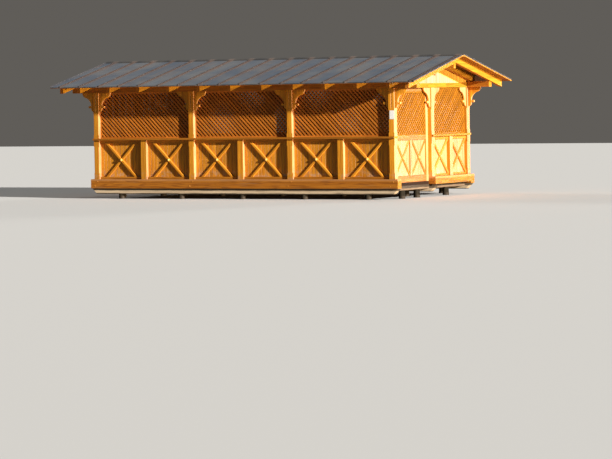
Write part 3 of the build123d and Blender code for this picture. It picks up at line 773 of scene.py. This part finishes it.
panel_boards = board_tree("panel_boarding", boarding, 5)
long_spots = [m + s * BAY / 4 for m in BAY_MIDDLES for s in (-1, 1)]
gable_spots = [m + s * HALF_GABLE / 4 for m in GABLE_MIDDLES for s in (-1, 1)]
gate_spots = [GATE_MIDDLE + s * (GATE_STILE + GATE_PANEL) / 2 for s in (-1, 1)]
LOWER_PANELS = {
    "front": (long_spots, BAY / 2 - POST, BOARD_FACE, SPAN),
    "back": (long_spots, BAY / 2 - POST, BOARD_FACE, SPAN),
    "left": (gable_spots, HALF_GABLE / 2 - POST, BOARD_FACE, SPAN),
    "right": (gable_spots[2:], HALF_GABLE / 2 - POST, BOARD_FACE, SPAN),
    "gate": (gate_spots, GATE_PANEL, GATE_BOARD_FACE, GATE_SPAN),
}
PANEL_GROUPS = {"front": (["front"], "panel_boards_front"),
                "back": (["back"], "panel_boards_back"),
                "gables": (["left", "right"], "panel_boards_gable"),
                "gate": (["gate"], "gate_boards")}
for group, (walls, node) in PANEL_GROUPS.items():
    name = "boarding_" + group
    parts = []
    for wall in walls:
        spots, width, face, (foot, head) = LOWER_PANELS[wall]
        parts.append(grow(name, panel_boards, [(u, face + BOARD / 2, foot) for u in spots],
                          {"Width": width, "Height": head - foot}, WALLS[wall]))
    settle(join(name, parts), node, body=body_of(group))

# Floor and roof boarding: the same field of boards, laid down
low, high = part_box("floor_boards")
planks = board_tree("floor_planking", decking, 8)
laid_along_x = Matrix(((0, 0, 1, 0), (1, 0, 0, 0), (0, 1, 0, 0), (0, 0, 0, 1)))
piece = grow("floor_planks", planks, [(0, 0, 0)], {
    "Width": high.y - low.y, "Height": high.x - low.x, "Board": 0.142,
    "Thickness": high.z - low.z, "Gap": 0.004, "Ease": 0.003},
    Matrix.Translation((low.x, 0, (low.z + high.z) / 2)) @ laid_along_x)
settle(piece, "floor_boards")

sarking = board_tree("roof_boarding", soffit, 13)
slope_run = EAVE_LINE / cos(SLOPE_ANGLE)
sarking_peak = Vector((0, 0, RIDGE - (METAL + SHEATHING / 2) / cos(SLOPE_ANGLE)))
for wall, side in (("front", -1), ("back", 1)):
    down = Vector((0, side * cos(SLOPE_ANGLE), -sin(SLOPE_ANGLE)))
    away = Vector((-side, 0, 0)).cross(down)
    along = down.cross(away)
    place = Matrix.Translation(sarking_peak + down * slope_run / 2 - along * VERGE_LINE)
    place = place @ Matrix((down, away, along)).transposed().to_4x4()
    piece = grow("soffit_boards_" + wall, sarking, [(0, 0, 0)], {
        "Width": slope_run, "Height": 2 * VERGE_LINE, "Board": 0.118,
        "Thickness": SHEATHING, "Gap": 0.003, "Ease": 0.005}, place)
    settle(piece, "sheathing_" + wall)


# Mesh-made pieces

def mesh_of(name, shape):
    """Ends a worked shape as a mesh, its faces outward."""
    bmesh.ops.recalc_face_normals(shape, faces=shape.faces)
    mesh = bpy.data.meshes.new(name)
    shape.to_mesh(mesh)
    shape.free()
    return mesh


def new_piece(name, shape, finish, smooth=None):
    """Keeps a worked shape as an object, smooth but for edges sharper than an angle."""
    mesh = mesh_of(name, shape)
    mesh.materials.append(finish)
    if smooth is not None:
        mesh.shade_smooth()
        mesh.set_sharp_from_angle(angle=smooth)
    return in_scene(name, mesh)


def skin(shape, rings):
    """Faces round a closed outline from ring to ring, and over both ends."""
    sides = len(rings[0])
    for lower, upper in zip(rings, rings[1:]):
        for i in range(sides):
            j = (i + 1) % sides
            shape.faces.new((lower[i], lower[j], upper[j], upper[i]))
    shape.faces.new(rings[0])
    shape.faces.new(rings[-1])


def arc_through(start, through, end, chords):
    """Points along the arc through three points, without its first one."""
    a, b, c = (complex(*point) for point in (start, through, end))
    ratio = (c - a) / (b - a)
    centre = a + (b - a) * (ratio - abs(ratio) ** 2) / (ratio - ratio.conjugate())
    first, mid, last = (phase(point - centre) for point in (a, b, c))
    turn = (last - first) % (2 * pi)
    if (mid - first) % (2 * pi) > turn:
        turn -= 2 * pi
    points = [centre + rect(abs(a - centre), first + turn * i / chords)
              for i in range(1, chords + 1)]
    return [(point.real, point.imag) for point in points]


def bracket_outline(chords=9):
    """The carved edge of a bracket, in u and z, with its ball nose."""
    tip, knee, heel = (REACH, -TIP), (0.71 * REACH, -0.255 * DROP), (0.25 * REACH, -0.61 * DROP)
    low, toe = (0.25 * REACH, -0.82 * DROP), (0.09 * REACH, -DROP)
    half = 0.55 * NOSE
    neck_u = NOSE_OUT - sqrt(NOSE ** 2 - half ** 2)
    above, below = half - NOSE_DROP, -half - NOSE_DROP
    swell = arc_through(tip, (0.89 * REACH, -0.19 * DROP), knee, chords)
    hollow = arc_through(knee, (0.41 * REACH, -0.39 * DROP), heel, chords)
    ball = arc_through((neck_u, above), (NOSE_OUT + NOSE, -NOSE_DROP), (neck_u, below),
                       2 * chords)
    foot = arc_through(low, (0.19 * REACH, -0.935 * DROP), toe, chords)
    return [(0, 0), (REACH, 0), tip, *swell, *hollow, (heel[0], above), (neck_u, above), *ball,
            (heel[0], below), low, *foot, (0, -DROP)]


def carved_bracket():
    """One bracket's mesh, u = 0 at the post, its edges eased."""
    shape = bmesh.new()
    face = shape.faces.new([shape.verts.new((u, 0, z)) for u, z in bracket_outline()])
    drawn = bmesh.ops.extrude_face_region(shape, geom=[face])
    moved = [e for e in drawn["geom"] if isinstance(e, bmesh.types.BMVert)]
    bmesh.ops.translate(shape, verts=moved, vec=(0, BRACKET_THICKNESS, 0))
    rims = [e for e in shape.edges
            if abs(e.verts[0].co.y - e.verts[1].co.y) < 1e-6 and e.verts[0].co.z < -1e-6]
    bmesh.ops.bevel(shape, geom=rims, offset=EASED_EDGE, segments=2, affect="EDGES", profile=0.5,
                    clamp_overlap=True)
    return mesh_of("bracket_pattern", shape)


def on_nose(spot):
    """Whether a point of the pattern lies on the round of the ball nose."""
    inside = EASED_EDGE / 2 < spot.y < BRACKET_THICKNESS - EASED_EDGE / 2
    beyond = spot.x > NOSE_OUT - 0.2 * NOSE
    return inside and beyond and abs(spot.z + NOSE_DROP) < 1.1 * NOSE


def bracket_rows(name, node, walls, spots):
    """Brackets at the same spots, (u, side), of some walls. The rounds of the noses take a painted
    highlight.
    """
    pattern = carved_bracket()
    whole = bmesh.new()
    tones = whole.verts.layers.float.new("tone")
    for wall, (u, side) in [(wall, spot) for wall in walls for spot in spots]:
        first = len(whole.verts)
        mesh = pattern.copy()
        place = Matrix.Translation((u + side * POST / 2, BRACKET_RECESS, PLATE_FOOT))
        mesh.transform(WALLS[wall] @ place @ Matrix.Diagonal((side, 1, 1, 1)))
        if side < 0:
            mesh.flip_normals()
        whole.from_mesh(mesh)
        whole.verts.ensure_lookup_table()
        shade = noise.random()
        for vert, cut in zip(whole.verts[first:], pattern.vertices):
            # painted highlight on the round of each nose
            vert[tones] = NOSE_HIGHLIGHT_TONE if on_nose(cut.co) else shade
        bpy.data.meshes.remove(mesh)
    bpy.data.meshes.remove(pattern)
    settle(new_piece(name, whole, carving, radians(35)), node)


noise.seed_set(4)
both_sides = [(u, side) for u in POST_CENTRES for side in (1, -1)]
inner_sides = [(0, 1), (0, -1), (-HALF_GABLE, 1), (HALF_GABLE, -1)]
bracket_rows("carved_brackets_front", "brackets_front", ["front"], both_sides)
bracket_rows("carved_brackets_back", "brackets_back", ["back"], both_sides)
bracket_rows("carved_brackets_gables", "brackets_gable", ["right", "left"], inner_sides)


# A knob's radii, and how far out each is from the brace's face
KNOB_PROFILE = [(0.0405, -0.006), (0.0405, 0.004), (0.0385, 0.008), (0.0345, 0.009),
                (0.0315, 0.012), (0.0295, 0.018), (0.0240, 0.0245), (0.0150, 0.0290),
                (0.0060, 0.0305)]


def knob_row(name, walls, sides=20):
    """A turned knob on each crossing of the walls' braces: a low bead round a dome."""
    whole = bmesh.new()
    angles = [2 * pi * i / sides for i in range(sides)]
    for wall in walls:
        v, z = BRACE_FACE, CROSS_MIDDLE
        if wall == "gate":
            v, z = GATE_BRACE_FACE, sum(GATE_SPAN) / 2
        for u in LOWER_PANELS[wall][0]:
            place = WALLS[wall] @ Matrix.Translation((u, v, z))
            skin(whole, [[whole.verts.new(place @ Vector((radius * cos(a), -rise, radius * sin(a))))
                          for a in angles] for radius, rise in KNOB_PROFILE])
    settle(new_piece(name, whole, turning, radians(40)), body=body_of(walls[0]))


for group, (walls, _) in PANEL_GROUPS.items():
    knob_row("turned_knobs_" + group, walls)


def gable_boarding(board=0.112, gap=0.002, ease=0.004):
    """Upright boards of both gable triangles, their heads cut to the slope."""
    low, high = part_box("gable_boards")
    whole = bmesh.new()
    tones = whole.verts.layers.float.new("tone")
    count = round((high.y - low.y) / board)
    pitch = (high.y - low.y) / count
    peak = RIDGE - (METAL + SHEATHING) / cos(SLOPE_ANGLE)
    for end in (-1, 1):
        outer, inner = end * high.x, end * (high.x - BOARD)
        for i in range(count):
            y0 = low.y + i * pitch + gap / 2
            y1 = y0 + pitch - gap
            section = [(y0, inner), (y1, inner), (y1, outer - end * ease), (y1 - ease, outer),
                       (y0 + ease, outer), (y0, outer - end * ease)]
            foot = [whole.verts.new((x, y, low.z)) for y, x in section]
            head = [whole.verts.new((x, y, peak - SLOPE * abs(y))) for y, x in section]
            if y0 < 0 < y1:
                for vert in head:
                    vert.co.z = peak - SLOPE * max(abs(y0), abs(y1))
            skin(whole, [foot, head])
            shade = noise.random()
            for vert in foot + head:
                vert[tones] = shade
    settle(new_piece("gable_boarding", whole, pediment_boarding), "gable_boards")


noise.seed_set(21)
gable_boarding()


def hewn_piles(sides=16):
    """Round piles with an uneven girth, from the floor to what they carry."""
    whole = bmesh.new()
    angles = [2 * pi * i / sides for i in range(sides)]
    stump_x = LENGTH / 2 - STUMP_INSET
    spots = [(x * PILE_SPACING, y, PILE_TOP) for y in GABLE_POSTS for x in (-2, -1, 0, 1, 2)]
    spots += [(end * stump_x, share * HALF_GABLE, STUMP_TOP) for end, share in (
        (-1, -0.5), (-1, 0.5), (1, 0.5), (1, -0.7), (1, -0.3))]
    for k, (x, y, top) in enumerate(spots):
        rings = []
        for level in (0, 0.3, 0.62, 1.0):
            z = level * top
            ring = []
            for a in angles:
                bulge = noise.noise(Vector((cos(a) * 1.3 + 7 * k, sin(a) * 1.3, z * 5)))
                radius = PILE_RADIUS * (1 + 0.10 * bulge) * (1.05 - 0.06 * level)
                ring.append(whole.verts.new((x + radius * cos(a), y + radius * sin(a), z)))
            rings.append(ring)
        skin(whole, rings)
    settle(new_piece("hewn_piles", whole, pile_wood, radians(50)), "piles", slot="pile_wood")


hewn_piles()


# Fastenings

def cone_head(tree, size, sides, taper, depth):
    """A fastening's head: a flat cone."""
    return lay(tree, "GeometryNodeMeshCone", {
        "Vertices": sides, "Radius Bottom": size["Radius"], "Radius Top": size["Radius"] * taper,
        "Depth": depth}, fill_type="NGON")


def head_tree(name, finish, seed):
    """A fastening's head at each spot, facing out from the wall where the turn is a quarter."""
    tree, size = geometry_tree(name, {"Radius": 0.010, "Top": 0.6, "Rise": 0.004, "Sink": 0.002,
                                      "Turn": pi / 2, "Sides": 6})
    head = cone_head(tree, size, size["Sides"], size["Top"], size["Rise"] + size["Sink"])
    sunk = head.through("GeometryNodeTransform", {
        "Translation": gathered(z=size["Sink"] * -1.0)})
    return close_tree(size, sunk, seed, finish, gathered(size["Turn"]))


def crossing_tree(edge=0.012):
    """A nail's head wherever two slats of a lattice panel cross, but for the panel's edge."""
    tree, size = geometry_tree("lattice_nailing", {
        "Width": 1.0, "Height": 1.0, "Step": SLAT_SPACING / 4, "Depth": 0.1, "Middle": 2.0,
        "Radius": 0.0045, "Rise": 0.0015})
    steps = [floor((size[side] * 0.5 - edge) / size["Step"]) * 2.0 for side in ("Width", "Height")]
    grid = lay(tree, "GeometryNodeMeshGrid", {
        "Size X": steps[0] * size["Step"], "Size Y": steps[1] * size["Step"],
        "Vertices X": steps[0] + 1.0, "Vertices Y": steps[1] + 1.0})
    x, y, _ = parted(lay(tree, "GeometryNodeInputPosition"))
    odd = (round(x / size["Step"]) + round(y / size["Step"])) % 2.0
    placed = grid.through("GeometryNodeDeleteGeometry", {"Selection": odd}).through(
        "GeometryNodeSetPosition", {"Position": gathered(x, size["Depth"], y + size["Middle"])})
    nails = repeated(placed, cone_head(tree, size, 6, 0.5, size["Rise"]), (pi / 2, 0, 0))
    return close_tree(size, nails, 17, iron)


crossings = crossing_tree()
NAIL_LIFT = 0.0001  # off the outer slats' faces
for wall, (spots, sizes) in LATTICES.items():
    depth = sizes["Depth"] - SLAT_THICKNESS / 2 + NAIL_LIFT
    piece = grow("lattice_nails_" + wall, crossings, spots, {**sizes, "Depth": depth}, WALLS[wall])
    settle(piece, body=body_of(wall), slot="hinge_iron")

peg_heads = head_tree("peg_heads", carving, 37)


def oak_pegs(name, spots_of, walls, sizes):
    """Oak pegs at the spots of some walls, as one piece."""
    parts = [grow(name + "_" + wall, peg_heads, spots_of(wall), {**sizes, "Sides": 8}, WALLS[wall])
             for wall in walls]
    settle(join(name, parts))


def sill_spots(wall):
    """Two pegs at each post, one up and one down."""
    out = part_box("sill_back")[1].y if wall == "back" else -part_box("sill_front")[0].y
    middle = (SILL_FOOT + SILL_TOP) / 2
    return [(u + s * 0.045, WIDTH / 2 - out, middle + s * 0.055)
            for u in POST_CENTRES for s in (-1, 1)]


def bracket_spots(wall):
    """Two pegs in each bracket, beside the post and below the plate."""
    spots = []
    for u in GABLE_POSTS if wall in ("left", "right") else POST_CENTRES:
        for side in (1, -1):
            if wall in ("front", "back") or abs(u + side) < HALF_GABLE:
                spots += [(u + side * (POST / 2 + out), BRACKET_RECESS, PLATE_FOOT - drop)
                          for out, drop in ((0.045, 0.36), (0.250, 0.045))]
    return spots


oak_pegs("sill_pegs", sill_spots, ("front", "back"), {"Radius": 0.013, "Top": 0.85, "Rise": 0.005})
oak_pegs("bracket_pegs", bracket_spots, ("front", "back", "left", "right"),
         {"Radius": 0.010, "Top": 0.75, "Rise": 0.004})

# Screws of the gate's straps and of the notice plate
screw_heads = head_tree("strap_screws", iron, 41)
STRAP, HINGE_U = 0.005, GATE_U[0] + 0.012
spots = [(HINGE_U + reach, POST + STRAP, (foot + head) / 2)
         for foot, head in GATE_RAILS for reach in (0.07, 0.16, 0.25, 0.33, 0.395)]
piece = grow("strap_screws", screw_heads, spots,
             {"Radius": 0.0075, "Top": 0.6, "Rise": 0.002, "Turn": -pi / 2, "Sides": 8},
             WALLS["gate"])
settle(piece, body="gate", slot="hinge_iron")
low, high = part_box("notice_plate")
inset = 0.012
spots = [(x, low.y, z) for x in (low.x + inset, high.x - inset)
         for z in (low.z + inset, high.z - inset)]
piece = grow("plate_screws", screw_heads, spots,
             {"Radius": 0.0045, "Top": 0.6, "Rise": 0.0015, "Sink": 0.001, "Sides": 8})
settle(piece, slot="hinge_iron")


# Eaves: the turned-down ends of the seams, and the folded drip edges

def fold_tree():
    """A small folded end of sheet at each spot."""
    tree, size = geometry_tree("seam_folds", {"Width": 0.022, "Depth": 0.012, "Height": 0.050})
    block = lay(tree, "GeometryNodeMeshCube", {
        "Size": gathered(size["Width"], size["Depth"], size["Height"])})
    return close_tree(size, block, 43, ridge_metal)


spots = [(FIRST_SEAM - i * SEAM_SPACING, side * (EAVE_LINE + 0.0045), EAVE_TOP - 0.005)
         for i in range(SEAM_COUNT) for side in (-1, 1)]
settle(grow("seam_folds", fold_tree(), spots, {}), slot="roof_metal")


def drip_edges():
    """The sheet's edge, folded down over the boarding at both eaves."""
    whole = bmesh.new()
    section = [(0.0005, 0.001), (0.0035, 0.001), (0.0035, -0.016), (0.0075, -0.021),
               (0.0065, -0.0225), (0.0005, -0.017)]
    for side in (-1, 1):
        skin(whole, [[whole.verts.new((x, side * (EAVE_LINE + y), EAVE_TOP + z))
                      for y, z in section] for x in (-VERGE_LINE, VERGE_LINE)])
    settle(new_piece("drip_edges", whole, ridge_metal), slot="roof_metal")


drip_edges()


# Stage, light and camera

def lamp(name, towards, strength, colour, softness):
    """A distant lamp in the given direction, its softness in degrees."""
    light = bpy.data.lights.new(name, "SUN")
    light.energy, light.color, light.angle = strength, colour, radians(softness)
    carrier = in_scene(name, light)
    carrier.rotation_mode = "QUATERNION"
    carrier.rotation_quaternion = Vector(towards).to_track_quat("Z", "Y")


def pale_floor():
    """A matt floor, darker in the light that it throws back than to the camera."""
    finish, tree = new_finish("pale_floor")
    seen = lay(tree, "ShaderNodeLightPath", out="Is Camera Ray")
    return dressed(finish, blend(seen, (0.16, 0.16, 0.155), (0.55, 0.55, 0.54)), 0.9)


def studio():
    """A plain floor that casts no shadow, a warm surround, and four lamps."""
    shape = bmesh.new()
    bmesh.ops.create_grid(shape, x_segments=1, y_segments=1, size=62)
    ground = new_piece("studio_floor", shape, pale_floor())
    ground.visible_shadow = False
    world = bpy.data.worlds.new("studio")
    world.use_nodes = True
    bpy.context.scene.world = world
    tree = world.node_tree
    light = tree.nodes["Background"]
    fill(tree, light, {"Color": (0.93, 0.96, 1.0), "Strength": 0.11})
    seen = lay(tree, "ShaderNodeBackground", {"Color": (0.90, 0.84, 0.76), "Strength": 0.13})
    to_camera = lay(tree, "ShaderNodeLightPath")
    chosen = lay(tree, "ShaderNodeMixShader", {0: to_camera, 1: Wire(tree, light.outputs[0]),
                                               2: seen})
    fill(tree, tree.nodes["World Output"], {0: chosen})
    lamp("key_light", (0.9423, -0.2297, 0.2436), 11.2, (1.0, 0.96, 0.90), 1.5)
    lamp("rising_light", (0.975, -0.085, -0.205), 4.2, (1.0, 0.74, 0.42), 8)
    lamp("back_light", (0.30, 0.93, 0.20), 1.2, (1.0, 0.96, 0.9), 15)
    lamp("left_light", (-0.95, 0.10, 0.30), 1.2, (1.0, 0.96, 0.9), 15)
    bpy.context.scene.view_settings.view_transform = "Standard"


def viewpoint():
    """The photograph's viewpoint: far off over the water, to the right of the long front."""
    yaw, pitch, roll = 0.51263, -0.046984, -0.016623
    place = (39.065, -68.165, 2.804)
    photo_width, focal_length = 612, 3000.54  # in pixels
    data = bpy.data.cameras.new("camera")
    data.sensor_width = 36
    data.lens = focal_length / photo_width * data.sensor_width
    data.clip_end = 1000
    camera = in_scene("camera", data)
    ahead = Vector((-sin(yaw) * cos(pitch), cos(yaw) * cos(pitch), sin(pitch)))
    level = Vector((cos(yaw), sin(yaw), 0))
    upward = level.cross(ahead)
    across = level * cos(roll) + upward * sin(roll)
    over = upward * cos(roll) - level * sin(roll)
    camera.matrix_world = Matrix.Translation(place) @ Matrix(
        (across, over, -ahead)).transposed().to_4x4()
    bpy.context.scene.camera = camera


studio()
viewpoint()
